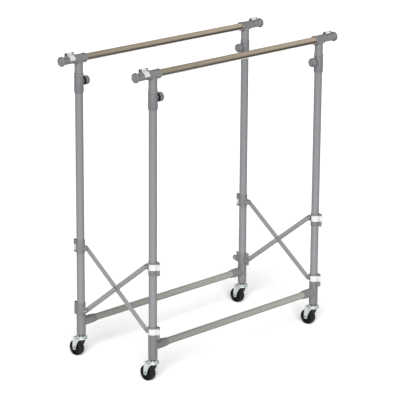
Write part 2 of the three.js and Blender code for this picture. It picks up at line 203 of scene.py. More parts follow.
def extruded(outline, start, end, axis="z", at=(0, 0, 0)):
    """A closed outline given thickness: XY along z, or YZ along x."""
    bm = bmesh.new()
    ends = []
    for level in (start, end):
        if axis == "z":
            ends.append([bm.verts.new((u, v, level)) for u, v in outline])
        else:
            ends.append([bm.verts.new((level, u, v)) for u, v in outline])
    bm.faces.new(ends[0])
    bm.faces.new(ends[1])
    count = len(outline)
    for i in range(count):
        j = (i + 1) % count
        bm.faces.new([ends[0][i], ends[0][j], ends[1][j], ends[1][i]])
    bm.transform(Matrix.Translation(at))
    return as_object(bm)


def block(x, y, z):
    return extruded([(x[0], y[0]), (x[1], y[0]), (x[1], y[1]), (x[0], y[1])], z[0], z[1])


def settle(obj):
    """Applies an object's modifiers and its place to its mesh."""
    bpy.context.view_layer.update()
    graph = bpy.context.evaluated_depsgraph_get()
    mesh = bpy.data.meshes.new_from_object(obj.evaluated_get(graph))
    old = obj.data
    obj.modifiers.clear()
    obj.data = mesh
    bpy.data.meshes.remove(old)
    return obj


def boolean(base, tools, operation):
    for tool in tools:
        change = base.modifiers.new(operation, "BOOLEAN")
        change.operation = operation
        change.solver = "MANIFOLD"
        change.object = tool
    settle(base)
    for tool in tools:
        bpy.data.objects.remove(tool)
    return base


def joined(base, *others):
    return boolean(base, others, "UNION")


def cut(base, *tools):
    return boolean(base, tools, "DIFFERENCE")


def moved(obj, matrix):
    obj.data.transform(matrix)
    return obj


def softened(obj, width=0.35, angle=40, segments=2):
    """Small rounded edges, as on a moulding or a deburred pressing."""
    bm = bmesh.new()
    bm.from_mesh(obj.data)
    bmesh.ops.remove_doubles(bm, verts=bm.verts, dist=0.03)
    bmesh.ops.dissolve_limit(bm, angle_limit=math.radians(0.5), verts=bm.verts, edges=bm.edges)
    bm.to_mesh(obj.data)
    bm.free()
    bevel = obj.modifiers.new("bevel", "BEVEL")
    bevel.width = width
    bevel.segments = segments
    bevel.limit_method = "ANGLE"
    bevel.angle_limit = math.radians(angle)
    bevel.use_clamp_overlap = True
    bevel.miter_outer = "MITER_ARC"
    return settle(obj)


def finished(obj, sharp=SHARP):
    """Scales a shape from millimetres to metres and sets which edges are drawn sharp."""
    obj.data.transform(Matrix.Scale(MM, 4))
    bm = bmesh.new()
    bm.from_mesh(obj.data)
    for face in bm.faces:
        face.smooth = True
    for edge in bm.edges:
        if len(edge.link_faces) == 2:
            edge.smooth = edge.calc_face_angle(0) < sharp
    bm.to_mesh(obj.data)
    bm.free()
    return obj


HALF_TURN = Matrix.Rotation(math.pi, 4, "Z")


def place(shape, name, spot, body, material, half_turn=False, replaces=None):
    """A copy of a shape at a point in millimetres, riding on a body."""
    obj = bpy.data.objects.new(name, shape.data)
    bpy.context.scene.collection.objects.link(obj)
    turn = HALF_TURN if half_turn else Matrix.Identity(4)
    obj.matrix_world = Matrix.Translation(Vector(spot) * MM) @ turn
    obj.data.materials.clear()
    obj.data.materials.append(material)
    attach(obj, body)
    if replaces:
        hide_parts(replaces)
    return obj


def drop(*shapes):
    for shape in shapes:
        bpy.data.objects.remove(shape)


# ------------------------------------------------------------------ joints and pivots of the frame
JOINTS = {j["name"]: j for j in frame["joints"]}


def joint_at(name):
    return Vector(JOINTS[name]["pos_m"]) / MM


def from_post(name, end, side):
    return joint_at(name) - POST_AXIS[end, side]


PIN_AT = from_post("front_left_upper_lever_pin", "front", "left").xy
RAIL_PIN = from_post("front_left_rail_lever_pin", "front", "left")
TEE_PIN_AT = Vector((RAIL_PIN.y, RAIL_Z - RAIL_PIN.z))
LUG_REACH = from_post("front_left_upper_clamp_pivot", "front", "left").y
CLAMP_MID = CLAMP_TALL / 2

# Radii and wall sizes of the tubes and mouldings.
POST_R, POST_BORE = 12.5, 11.3
TUBE_R, TUBE_BORE = 9.5, 8.4
RAIL_R, RAIL_BORE = 11, 9.9
BAR_R, BAR_BORE = 11, 9.8
CLAMP_R, CLAMP_BORE = 14.2, 12.8
CLEAR = 0.3
PIN_R = 2
RIVET_R = 2.6
RIVET_HOLE = 2.9

# Where each face of the brace stack lies, from the post axis along X.
STRIP_T = 3.6
STRIP_HALF = 7.5
LAYER_B, LAYER_A = -5.2, -1.3
LUG_FACE = {
    "front_high": (LAYER_B + STRIP_T + CLEAR, 5),
    "front_low": (LAYER_A + STRIP_T + CLEAR, 4),
    "rear_high": (LAYER_A - CLEAR - 5, 5),
    "rear_low": (LAYER_B - CLEAR - 4, 4),
}


# ------------------------------------------------------------------ clamps and levers
LEVER_DROP = {"front": 6, "rear": 17}  # from a clamp's top down to its lever


def ear(pin_at, radius, root, z0, z1):
    """A flat ear with a round nose."""
    x, y = pin_at
    nose = arc_points((x, y), radius, 180, 360, 14)
    outline = [(x - radius, root), *nose, (x + radius, root)]
    return extruded(outline, z0, z1)


def lever_shape(ring, pin_at, grooves):
    """White clamp lever in its closed place: knuckle on the pin and a strap round the ring."""
    tall = LEVER_TALL
    knuckle_r, gap, thick, sweep = 4.6, 0.5, 2.8, 98
    inner, outer = ring + gap, ring + gap + thick
    start = math.degrees(math.atan2(pin_at[1], pin_at[0]))
    tip_angle = start - sweep
    mid = (inner + outer) / 2
    tip_at = (mid * math.cos(math.radians(tip_angle)), mid * math.sin(math.radians(tip_angle)))
    steps = 30
    strap = [
        *arc_points((0, 0), outer, start, tip_angle, steps),
        *arc_points((0, 0), inner, tip_angle, start, steps),
    ]
    body = joined(
        extruded(strap, 0, tall),
        pin(thick * 0.62, 0, tall, edge=0, at=(*tip_at, 0)),
        pin(knuckle_r, 0, tall, edge=0, at=(*pin_at, 0)),
    )
    cuts = [pin(PIN_R + CLEAR, -1, tall + 1, edge=0, at=(*pin_at, 0))]
    depth, width = 0.35, 0.9
    for level in grooves:
        cuts.append(turned([
            (outer - depth, level), (outer + 3, level),
            (outer + 3, level + width), (outer - depth, level + width),
        ]))
    return softened(cut(body, *cuts), 0.45)


def lug_shape(low_x, thick, z):
    """Side plate that carries a brace pivot."""
    nose, root = 8.5, 13
    outline = [
        (10, z - root), (LUG_REACH - 2, z - nose),
        *arc_points((LUG_REACH, z), nose, -90, 90, 20),
        (10, z + root),
    ]
    return extruded(outline, low_x, low_x + thick, axis="x")


def clamp_shape(bottom, lug, lever_drop):
    """Split post clamp: ring, two ears, brace lug. lever_drop is None for the screw-pinched one."""
    low_x, thick = lug
    top = bottom + CLAMP_TALL
    mid = bottom + CLAMP_MID
    if lever_drop is None:
        upper_ear, lower_ear = top - 21, top - 22.5
    else:
        upper_ear = top - lever_drop
        lower_ear = upper_ear - LEVER_TALL - 2 * CLEAR
    ear_r = 5
    root = -CLAMP_R * 0.72
    right = PIN_AT.x - ear_r - 0.2
    body = joined(
        pin(CLAMP_R, bottom, top, edge=1.0, segments=ROUND),
        lug_shape(low_x, thick, mid),
        ear(PIN_AT, ear_r, root, upper_ear, top - 0.8),
        ear(PIN_AT, ear_r, root, bottom + 0.8, lower_ear),
    )
    body = cut(
        body,
        pin(CLAMP_BORE, bottom - 1, top + 1, edge=0, segments=ROUND),
        block((right - 1.5, right), (-CLAMP_R - 4, -CLAMP_R + 4), (bottom - 1, top + 1)),
        pin(RIVET_HOLE, -20, 20, edge=0, axis="x", at=(0, LUG_REACH, mid)),
        pin(PIN_R + 0.05, bottom - 1, top + 1, edge=0, at=(*PIN_AT, 0)),
    )
    return softened(body)


def pin_shape(pin_at, z0, z1, head=3.4):
    """Lever pin with a domed head above and a swaged collar below."""
    shape = turned([
        (0, z0 - 1.0), (PIN_R + 0.7, z0 - 1.0, 0.4), (PIN_R + 0.9, z0, 0.1), (PIN_R, z0), (PIN_R, z1),
        (head, z1, 0.2), (head - 0.2, z1 + 0.6, 0.5), (0, z1 + 1.2),
    ], at=(*pin_at, 0), segments=SMALL)
    return shape


# ------------------------------------------------------------------ top tee
LAY_DOWN = Matrix(((0, 0, -1, 0), (1, 0, 0, 0), (0, -1, 0, RAIL_Z), (0, 0, 0, 1)))
TEE_EARS = ((19, 24), (45, 50))
TEE_WIDE_R, TEE_SLIM_R, TEE_NECK_R = 13.8, 11.9, 13.2
TEE_STEP = -22
TEE_LEVER_LOW = (TEE_EARS[0][1] + TEE_EARS[1][0] - LEVER_TALL) / 2


def tee_shape():
    """Tee of a left post: wide sleeve on the rail side, slim split sleeve outwards, neck below."""
    along = {"axis": "x", "at": (0, 0, RAIL_Z), "segments": ROUND}
    ear_r = 4.6
    rim = 0.45
    ears = [ear(TEE_PIN_AT, ear_r, -TEE_SLIM_R * 0.6, a, b) for a, b in TEE_EARS]
    for piece in ears:
        moved(piece, LAY_DOWN)
    saddle_top = RAIL_Z - TEE_WIDE_R + 3
    body = joined(
        turned([
            (0, TEE_STEP), (TEE_WIDE_R - 0.6, TEE_STEP, 0.6),
            (TEE_WIDE_R, TEE_STEP + 3, 1), (TEE_WIDE_R, TEE_IN - 4),
            (TEE_WIDE_R + rim, TEE_IN - 3.6, 0.2), (TEE_WIDE_R + rim, TEE_IN, 0.4), (0, TEE_IN),
        ], **along),
        turned([
            (0, -TEE_OUT), (TEE_SLIM_R + rim, -TEE_OUT, 0.4), (TEE_SLIM_R + rim, -TEE_OUT + 3, 0.2),
            (TEE_SLIM_R, -TEE_OUT + 3.4), (TEE_SLIM_R, TEE_STEP + 1), (0, TEE_STEP + 1),
        ], **along),
        turned([
            (0, TEE_LOW), (TEE_NECK_R + rim, TEE_LOW, 0.4), (TEE_NECK_R + rim, TEE_LOW + 3, 0.2),
            (TEE_NECK_R, TEE_LOW + 3.5), (TEE_NECK_R, saddle_top - 3, 2), (TEE_NECK_R + 0.9, saddle_top),
            (TEE_NECK_R + 0.9, RAIL_Z - 4), (0, RAIL_Z - 4),
        ]),
        *ears,
    )
    slit_x = TEE_PIN_AT.x - ear_r - 0.2
    slit_depth = (-TEE_SLIM_R - 4, -TEE_SLIM_R + 4)
    slit = moved(block((slit_x - 1.5, slit_x), slit_depth, (24, TEE_OUT + 1)), LAY_DOWN)
    body = cut(
        body,
        pin(RAIL_R + CLEAR, -20.5, TEE_IN + 1, edge=0, **along),
        pin(TUBE_R + 0.4, -TEE_OUT - 1, -20, edge=0, **along),
        pin(TUBE_R + CLEAR, TEE_LOW - 1, 944, edge=0, segments=ROUND),
        slit,
    )
    return softened(body)


def tee_pin_shape():
    return moved(pin_shape(TEE_PIN_AT, TEE_EARS[0][0] + 0.2, TEE_EARS[1][1] - 0.2), LAY_DOWN)


def rail_lever_shape():
    shape = lever_shape(TEE_SLIM_R, TEE_PIN_AT, grooves=(4.5, 8.7, 12.9))
    return moved(shape, LAY_DOWN @ Matrix.Translation((0, 0, TEE_LEVER_LOW)))


def end_stop_shape():
    """Domed round stop on an extension rod, with a turned lip and a plug that fills the tube."""
    outer = -ROD_OUT
    inner = -TEE_OUT - CLEAR
    r = 15
    return turned([
        (0, outer + 0.5), (9, outer, 3), (r - 3.4, outer, 0.4),
        (r - 3.2, outer + 0.5, 0.2), (r - 2.6, outer + 0.2, 0.3),
        (r, outer + 1.3, 1.1), (r, inner - 0.4, 0.4), (r - 0.8, inner, 0.3), (TUBE_BORE, inner, 0.1),
        (TUBE_BORE, inner + 8, 0.5), (0, inner + 8),
    ], axis="x", at=(0, 0, RAIL_Z))


# ------------------------------------------------------------------ height collar and knob
BOSS_END = 24.5
KNOB_BACK = 21.5
FLUTES = 18


def height_collar_shape():
    """Collar of a left post: its boss points to +X."""
    r_top, r_low = 14.5, 14.9
    stud_hole = 3.4
    step = POST_TOP + CLEAR
    body = joined(
        turned([
            (0, COLLAR_LOW), (r_low - 1.4, COLLAR_LOW, 0.3),
            (r_low, COLLAR_LOW + 3, 1.2), (r_top, COLLAR_TOP - 5.2),
            (r_top - 0.35, COLLAR_TOP - 4.9), (r_top - 0.35, COLLAR_TOP - 4.2), (r_top, COLLAR_TOP - 3.9),
            (r_top, COLLAR_TOP, 0.9), (0, COLLAR_TOP),
        ]),
        turned([
            (0, 0), (10.5, 0), (10.5, 13.2, 2), (7.5, 16.4, 1.5), (7.5, BOSS_END, 0.5), (0, BOSS_END),
        ], axis="x", at=(0, 0, KNOB_Z)),
    )
    body = cut(
        body,
        pin(POST_R + CLEAR, COLLAR_LOW - 1, step, edge=0, segments=ROUND),
        pin(TUBE_R + CLEAR, step - 1, COLLAR_TOP + 1, edge=0, segments=ROUND),
        pin(stud_hole, 0, BOSS_END + 1, edge=0, axis="x", at=(0, 0, KNOB_Z)),
    )
    return softened(body, 0.3)


def knob_shade_ring_shape():
    """Near-black ring on the boss, behind the knob: painted shade for the shadowed gap between knob and
    collar.
    """
    hole, r = 7.6, 11.8
    back, front = KNOB_BACK - 3.2, KNOB_BACK - 0.5
    return turned([
        (hole, back, 0.2), (r, back, 0.5), (r, front, 0.5), (hole, front, 0.2),
    ], axis="x", at=(0, 0, KNOB_Z), segments=SMALL)


def collar_highlight_ring_shape():
    """Pale ring over the top edge of the collar: a painted highlight along the collar's top rim."""
    bore, r, bottom = 12.4, 14.6, COLLAR_TOP - 1.2
    return turned([
        (bore, bottom), (r, bottom, 0.2), (r, COLLAR_TOP, 0.4), (bore, COLLAR_TOP),
    ])


def knob_shape():
    """Fluted knob of a left post with its hollow back and threaded stud."""
    r, recess, floor, stud, tip = KNOB_R, 8.3, 25.2, 3, 9.9
    thread = [(0, tip), (stud - 0.8, tip)]
    pitch = 1.25
    level = tip + 0.6
    while level < floor - pitch:
        thread += [(stud, level), (stud - 0.45, level + pitch / 2)]
        level += pitch
    return turned([
        *thread, (stud, floor - 0.3), (stud, floor), (recess, floor, 0.5),
        (recess, KNOB_BACK, 0.4), (r - 1, KNOB_BACK, 0.6), (r, KNOB_BACK + 1.6, 0.6),
        (r, KNOB_FRONT - 2.6, 1.2), (r - 3, KNOB_FRONT - 0.4, 0.6), (r - 3.6, KNOB_FRONT - 0.4, 0.2),
        (r - 4.2, KNOB_FRONT - 0.9, 0.3), (r - 5, KNOB_FRONT - 0.4, 0.3), (0, KNOB_FRONT),
    ], axis="x", at=(0, 0, KNOB_Z), segments=FLUTES * 6, flutes=(FLUTES, 0.9, r - 1.5))


# ------------------------------------------------------------------ lower tee
BRACKET_FREE_TOP = CLAMP_LOW - CLEAR


def foot_parts():
    """Lower tee of a left post: its socket points to +X."""
    r = 14.3
    barrel, nose, nose_r = 43, 57, 12.2
    return [
        turned([
            (0, FOOT_LOW), (r - 3, FOOT_LOW, 0.4), (r - 0.6, FOOT_LOW + 2.2, 1.5), (r, FOOT_LOW + 6, 2),
            (r, BRACKET_FREE_TOP, 0.6), (0, BRACKET_FREE_TOP),
        ]),
        turned([
            (0, 0), (r, 0), (r, barrel, 3),
            (nose_r + 0.4, nose - 3, 0.5), (nose_r + 0.4, nose, 0.5), (0, nose),
        ], axis="x", at=(0, 0, BAR_Z)),
    ]


def foot_bores():
    return [
        pin(POST_R + CLEAR, POST_LOW - CLEAR, CLAMP_LOW + CLAMP_TALL + 2, edge=0, segments=ROUND),
        pin(BAR_R + CLEAR, 15.5, 60, edge=0, axis="x", at=(0, 0, BAR_Z), segments=ROUND),
        pin(4.4, FOOT_LOW - 1, POST_LOW, edge=0),
    ]


def foot_shape():
    return softened(cut(joined(*foot_parts()), *foot_bores()), 0.4)


def rear_foot_shape(lug_low_x):
    """Rear lower tee of a left post, moulded in one with its brace bracket."""
    bracket = moved(clamp_shape(CLAMP_LOW, (lug_low_x, 4), None), HALF_TURN)
    neck = pin(CLAMP_R - 0.5, BRACKET_FREE_TOP - 2, CLAMP_LOW + 2, edge=0, segments=ROUND)
    body = joined(*foot_parts(), neck)
    body = cut(body, *foot_bores())
    return softened(joined(body, bracket), 0.3)


# ------------------------------------------------------------------ braces
def stadium(radius, length, steps=20):
    return arc_points((0, 0), radius, 90, 270, steps) + arc_points((length, 0), radius, -90, 90, steps)


def strip_shape(length, low_x, dish_low, holes):
    """Pressed steel strip lying along +Y from a pivot: a shallow dish with rolled edges."""
    wall, edge = 1.5, 1.9
    plate = extruded(stadium(STRIP_HALF, length), low_x, low_x + STRIP_T, axis="x")
    if dish_low:
        span = (low_x - 1, low_x + STRIP_T - wall)
    else:
        span = (low_x + wall, low_x + STRIP_T + 1)
    pocket = extruded(stadium(STRIP_HALF - edge, length), *span, axis="x")
    drill = [pin(RIVET_HOLE, -20, 20, edge=0, axis="x", at=(0, y, 0)) for y in holes]
    return softened(cut(plate, pocket, *drill), 0.5)


def rivet_shape(start, end, head=4.6):
    """Rivet from one X to another, with a domed head at each end."""
    start, end = sorted((start, end))
    return turned([
        (0, start - 1.7), (head * 0.6, start - 1.45, 0.6), (head, start - 0.35, 0.3), (head, start, 0.1),
        (RIVET_R, start), (RIVET_R, end), (head, end, 0.1), (head, end + 0.35, 0.3),
        (head * 0.6, end + 1.45, 0.6), (0, end + 1.7),
    ], axis="x", segments=SMALL)


# ------------------------------------------------------------------ casters
def gathered(shapes):
    """Several separate shapes in one mesh."""
    bm = bmesh.new()
    for shape in shapes:
        bm.from_mesh(shape.data)
    drop(*shapes)
    return as_object(bm)


LEG_T = 2
LEG_OUT = 13.3
LEG_IN = LEG_OUT - LEG_T
LEG_FRONT, LEG_BACK, LEG_FOOT_R = -14.5, 23.5, 6.5
CROWN_LOW, CROWN_TOP = 60, 63
RACE_TOP = 70.2
# The near-black dots on the race top are painted shade for the shadowed gap under the tee.
SHADE_DOT_RING, SHADE_DOT_R, SHADE_DOT_ANGLES = 11, 2.7, (-160, -112)
AXLE_R = 3
BALLS = 14


def curve_points(start, bend, end, steps):
    """Points on a curve from start to end, both included, pulled toward bend."""
    points = []
    for i in range(steps + 1):
        t = i / steps
        points.append(tuple(start * (1 - t) ** 2 + bend * 2 * t * (1 - t) + end * t * t))
    return points


def leg_outline(shrink=0):
    """Fork leg in YZ: broad under the crown, narrowing in a curve to the axle."""
    foot_r = LEG_FOOT_R - shrink
    front = LEG_FRONT + shrink * 3
    top = CROWN_LOW + 1 - shrink
    start, bend = Vector((front, top - 1)), Vector((5, 57 - shrink))
    end = Vector((TRAIL - foot_r, AXLE_Z + 1))
    outline = [(front, top), *curve_points(start, bend, end, 12)]
    outline += arc_points((TRAIL, AXLE_Z), foot_r, 180, 360, 16)
    outline += [(TRAIL + foot_r, AXLE_Z + 14), (LEG_BACK - shrink, top)]
    return outline


def fork_shape():
    """Pressed fork: domed crown, two legs with a raised rim, folded over into the crown."""
    legs = []
    for way in (-1, 1):
        faces = sorted((way * LEG_IN, way * LEG_OUT))
        leg = extruded(leg_outline(), *faces, axis="x")
        dent_faces = sorted((way * (LEG_OUT - 0.9), way * (LEG_OUT + 1)))
        dent = extruded(leg_outline(shrink=2.6), *dent_faces, axis="x")
        legs.append(cut(leg, dent))
    crown = joined(
        turned([(0, CROWN_LOW), (19.4, CROWN_LOW, 0.8), (20, CROWN_TOP, 1.4), (0, CROWN_TOP)]),
        block((-LEG_OUT, LEG_OUT), (LEG_FRONT, LEG_BACK), (CROWN_LOW, CROWN_TOP)),
        *legs,
    )
    return softened(crown, 0.6, angle=50)


def race_shape():
    """Swivel race above the crown: a pressed cup."""
    base_r, cup_r = 15, 18.6
    return turned([
        (0, CROWN_TOP - 0.5), (base_r, CROWN_TOP - 0.5), (base_r, CROWN_TOP + 1.4),
        (cup_r, CROWN_TOP + 1.8, 0.5), (cup_r, RACE_TOP - 3.4, 1.6), (15.8, RACE_TOP - 1.4, 1.0),
        (13.5, RACE_TOP - 1.2, 0.4), (11, RACE_TOP, 0.5), (0, RACE_TOP),
    ])


def race_shade_dots_shape():
    """Two near-black dots set into the top of the race, beside the stem: painted shade for the shadowed gap
    under the tee.
    """
    shade_dots = []
    for degrees in SHADE_DOT_ANGLES:
        angle = math.radians(degrees)
        at = (SHADE_DOT_RING * math.cos(angle), SHADE_DOT_RING * math.sin(angle), 0)
        shade_dots.append(pin(SHADE_DOT_R, RACE_TOP - 5, RACE_TOP + 0.8, edge=0.5, at=at))
    return gathered(shade_dots)


def shade_sheet_shape():
    """Near-black sheet across the front of the fork between crown and wheel: painted shade for the shadow
    inside the fork.
    """
    over_wheel = arc_points((TRAIL, AXLE_Z), WHEEL_R + 1.2, 148, 100, 12)
    top = CROWN_LOW + 0.5
    front = curve_points(Vector((LEG_FRONT, top)), Vector((-4, 51)), Vector(over_wheel[0]), 8)
    outline = [(over_wheel[-1][0], top), *front[:-1], *over_wheel]
    return extruded(outline, -LEG_IN - 0.2, LEG_IN + 0.2, axis="x")


def stem_shape():
    return pin(4, RACE_TOP - 0.5, POST_LOW - 2.5, edge=0.8)


def ball_shape(angle):
    return turned([(0, -1.7), (1.2, -1.2, 0.2), (1.7, 0, 0.8), (1.2, 1.2, 0.2), (0, 1.7)],
                  at=(16.2 * math.cos(angle), 16.2 * math.sin(angle), CROWN_TOP + 0.9), segments=12)


def axle_shape():
    """Axle bolt with a hexagon head and a lock nut."""
    hexagon = arc_points((0, 0), 4.4, 0, 300, 5)
    nuts = [extruded(hexagon, *sorted((way * (LEG_OUT - 1), way * (LEG_OUT + 2.0)))) for way in (-1, 1)]
    body = joined(pin(AXLE_R - 0.1, -LEG_OUT - 2.6, LEG_OUT + 2.8, edge=0.5), *nuts)
    turn = Matrix.Translation((0, TRAIL, AXLE_Z)) @ TURNS["x"]
    return moved(softened(body, 0.3), turn)


def wheel_parts():
    """Wheel body with its dished faces and hub, and the softer tread around it."""
    half = WHEEL_WIDE / 2
    hub_r, rim_r = 6.4, 18.4
    at = {"axis": "x", "at": (0, TRAIL, AXLE_Z)}
    body = turned([
        (AXLE_R + 0.1, -half - 0.6, 0.3), (hub_r, -half - 0.6, 0.6), (7, -half + 2.6, 0.8),
        (16.6, -half + 2.9, 1.2), (rim_r, -half + 0.2, 0.8), (21.3, -half + 0.4, 0.5),
        (21.5, -half + 1.2), (21.5, half - 1.2),
        (21.3, half - 0.4, 0.5), (rim_r, half - 0.2, 0.8), (16.6, half - 2.9, 1.2),
        (7, half - 2.6, 0.8), (hub_r, half + 0.6, 0.6), (AXLE_R + 0.1, half + 0.6, 0.3),
    ], segments=96, **at)
    tread = turned([
        (21.4, -half + 0.9), (22.3, -half + 0.1, 0.5), (23.6, -half + 0.5, 0.8),
        (WHEEL_R, -half + 3.2, 2.2), (WHEEL_R, -0.35), (WHEEL_R - 0.15, 0),
        (WHEEL_R, 0.35), (WHEEL_R, half - 3.2, 2.2),
        (23.6, half - 0.5, 0.8), (22.3, half - 0.1, 0.5), (21.4, half - 0.9),
    ], segments=96, **at)
    return body, tread


# ------------------------------------------------------------------ materials
LENGTHWAYS = (0.02, 1, 1)  # stretch of a noise along a rail or bar
UPRIGHT = (1, 1, 0.02)  # stretch of a noise along a post


class Look:
    """A principled material with its texture nodes added by name."""

    def __init__(self, name, color, metallic=0.0, roughness=0.5, specular=0.5):
        self.material = bpy.data.materials.new(name)
        self.material.use_nodes = True
        self.tree = self.material.node_tree
        self.shader = self.tree.nodes["Principled BSDF"]
        self.shader.inputs["Metallic"].default_value = metallic
        self.shader.inputs["Roughness"].default_value = roughness
        self.shader.inputs["Coat Roughness"].default_value = 0.15
        self.shader.inputs["Specular IOR Level"].default_value = specular
        self.color = color
        self.roughness = roughness
        self.coordinates = self.node("ShaderNodeTexCoord").outputs["Object"]
        self.shade = None
        self.height = None
        self.gloss = None

    def node(self, kind, **values):
        made = self.tree.nodes.new(kind)
        for key, value in values.items():
            if hasattr(made, key):
                setattr(made, key, value)
            else:
                made.inputs[key.replace("_", " ")].default_value = value
        return made

    def link(self, a, b):
        self.tree.links.new(a, b)

    def stretched(self, scale):
        mapping = self.node("ShaderNodeMapping")
        self.link(self.coordinates, mapping.inputs["Vector"])
        mapping.inputs["Scale"].default_value = scale
        return mapping.outputs["Vector"]

    def noise(self, size_mm, detail=4, roughness=0.55, stretch=(1, 1, 1)):
        """Noise with features of about that size, drawn out along an axis by stretch below 1."""
        made = self.node("ShaderNodeTexNoise")
        self.link(self.stretched(stretch), made.inputs["Vector"])
        made.inputs["Scale"].default_value = 1 / (size_mm * MM)
        made.inputs["Detail"].default_value = detail
        made.inputs["Roughness"].default_value = roughness
        return made.outputs["Fac"]

    def ramped(self, value, low_at, high_at, low_value, high_value):
        made = self.node("ShaderNodeMapRange")
        made.clamp = True
        self.link(value, made.inputs["Value"])
        ends = {"From Min": low_at, "From Max": high_at, "To Min": low_value, "To Max": high_value}
        for socket, number in ends.items():
            made.inputs[socket].default_value = number
        return made.outputs["Result"]

    def tint(self, mask, color):
        """Mixes a colour over what is there by a mask."""
        mix = self.node("ShaderNodeMix", data_type="RGBA")
        self.link(mask, mix.inputs["Factor"])
        if self.shade is None:
            mix.inputs["A"].default_value = (*self.color, 1)
        else:
            self.link(self.shade, mix.inputs["A"])
        mix.inputs["B"].default_value = (*color, 1)
        self.shade = mix.outputs["Result"]
        return self

    def rough(self, value, spread):
        self.gloss = self.ramped(value, 0.3, 0.7, self.roughness - spread, self.roughness + spread)
        return self

    def bump(self, value, depth_mm, strength=1.0):
        made = self.node("ShaderNodeBump")
        made.inputs["Strength"].default_value = strength
        made.inputs["Distance"].default_value = depth_mm * MM
        self.link(value, made.inputs["Height"])
        if self.height is not None:
            self.link(self.height, made.inputs["Normal"])
        self.height = made.outputs["Normal"]
        return self

    def worn_edges(self, color, amount=0.5):
        """Lighter edges, broken up by noise."""
        edge = self.ramped(self.node("ShaderNodeNewGeometry").outputs["Pointiness"], 0.53, 0.6, 0, amount)
        patches = self.ramped(self.noise(4), 0.4, 0.65, 0, 1)
        both = self.node("ShaderNodeMath", operation="MULTIPLY")
        self.link(edge, both.inputs[0])
        self.link(patches, both.inputs[1])
        return self.tint(both.outputs["Value"], color)

    def done(self):
        if self.shade is None:
            self.shader.inputs["Base Color"].default_value = (*self.color, 1)
        else:
            self.link(self.shade, self.shader.inputs["Base Color"])
        if self.gloss is not None:
            self.link(self.gloss, self.shader.inputs["Roughness"])
        if self.height is not None:
            self.link(self.height, self.shader.inputs["Normal"])
        return self.material


def srgb(r, g, b):
    """A colour given in 0 to 255 screen values, as linear light."""
    found = []
    for c in (r, g, b):
        c /= 255
        found.append(c / 12.92 if c <= 0.04045 else ((c + 0.055) / 1.055) ** 2.4)
    return tuple(found)


def paint_look(name, color, along):
    """Silver powder coat: fine orange peel, faint drawn lines along the tube and a little dust."""
    look = Look(name, color, metallic=0.0, roughness=0.5, specular=0.08)
    dark = tuple(c * 0.86 for c in color)
    light = tuple(min(1, c * 1.12) for c in color)
    look.tint(look.ramped(look.noise(60, stretch=along), 0.35, 0.7, 0, 0.5), dark)
    look.tint(look.ramped(look.noise(0.5, detail=2), 0.55, 0.75, 0, 0.5), light)
    look.tint(look.ramped(look.noise(18, detail=6), 0.62, 0.8, 0, 0.22), srgb(120, 118, 112))
    look.rough(look.noise(9, detail=5), 0.07)
    look.bump(look.noise(0.9, detail=2), 0.03).bump(look.noise(6, detail=3, stretch=along), 0.02)
    return look.done()


def chrome_look(name, color, roughness=0.12, along=LENGTHWAYS):
    """Bright plate: drawn micro scratches along the tube, faint smudges and a few rub marks."""
    look = Look(name, color, metallic=1.0, roughness=roughness)
    dull = tuple(c * 0.8 for c in color)
    look.tint(look.ramped(look.noise(25, detail=5), 0.5, 0.75, 0, 0.5), dull)
    look.rough(look.noise(7, detail=6), roughness * 0.45)
    look.bump(look.noise(0.6, detail=3, stretch=along), 0.01, 0.5).bump(look.noise(30, detail=2), 0.04, 0.4)
    return look.done()


def rail_look(name, body, stripe_reflection, underside_reflection):
    """Bright plated rail: warm on top, with a reflection painted into the colour by which way the surface
    faces: a dark stripe low on each flank and a pale underside.
    """
    look = Look(name, body, metallic=0.35, roughness=0.28)
    tilt = look.node("ShaderNodeSeparateXYZ")
    look.link(look.node("ShaderNodeNewGeometry").outputs["Normal"], tilt.inputs["Vector"])
    streaks = look.noise(25, detail=5, stretch=LENGTHWAYS)
    look.tint(look.ramped(streaks, 0.5, 0.75, 0, 0.3), tuple(c * 0.8 for c in body))
    # Painted reflection: the flanks that face a little downward are darkened into a stripe, as if a dark
    # horizon were reflected there.
    look.tint(look.ramped(tilt.outputs["Z"], 0.3, -0.15, 0, 1), stripe_reflection)
    # Painted reflection: faces turned downward are lightened, as if the pale floor were reflected there.
    look.tint(look.ramped(tilt.outputs["Z"], -0.55, -0.75, 0, 1), underside_reflection)
    look.rough(look.noise(7, detail=3, stretch=LENGTHWAYS), 0.04)
    look.bump(look.noise(0.6, detail=2, stretch=LENGTHWAYS), 0.01, 0.2)
    return look.done()


def plastic_look(name, color, roughness=0.5, edge=1.18, grain=0.35):
    """Moulded plastic: fine spark-eroded grain, slight flow marks, rubbed edges."""
    look = Look(name, color, roughness=roughness, specular=0.25)
    look.tint(look.ramped(look.noise(22, detail=4), 0.4, 0.7, 0, 0.5), tuple(c * 0.88 for c in color))
    look.tint(look.ramped(look.noise(1.1, detail=3), 0.58, 0.75, 0, 0.35), tuple(c * 0.8 for c in color))
    look.worn_edges(tuple(min(1, c * edge + 0.02) for c in color))
    look.rough(look.noise(3, detail=5), 0.08)
    look.bump(look.noise(grain, detail=2), 0.025).bump(look.noise(14, detail=2), 0.05, 0.4)
    return look.done()


def zinc_look(name, color):
    """Zinc plate: pale crystal patches and a soft uneven shine."""
    look = Look(name, color, metallic=0.45, roughness=0.35)
    cells = look.node("ShaderNodeTexVoronoi", feature="SMOOTH_F1")
    look.link(look.stretched((1, 1, 1)), cells.inputs["Vector"])
    cells.inputs["Scale"].default_value = 1 / (2.2 * MM)
    look.tint(look.ramped(cells.outputs["Distance"], 0.2, 0.7, 0, 0.35), tuple(c * 0.8 for c in color))
    look.tint(look.ramped(look.noise(8, detail=6), 0.55, 0.8, 0, 0.35), srgb(168, 170, 166))
    look.rough(look.noise(2.5, detail=5), 0.1)
    look.bump(look.noise(0.8, detail=3), 0.015).bump(cells.outputs["Distance"], 0.01, 0.4)
    return look.done()


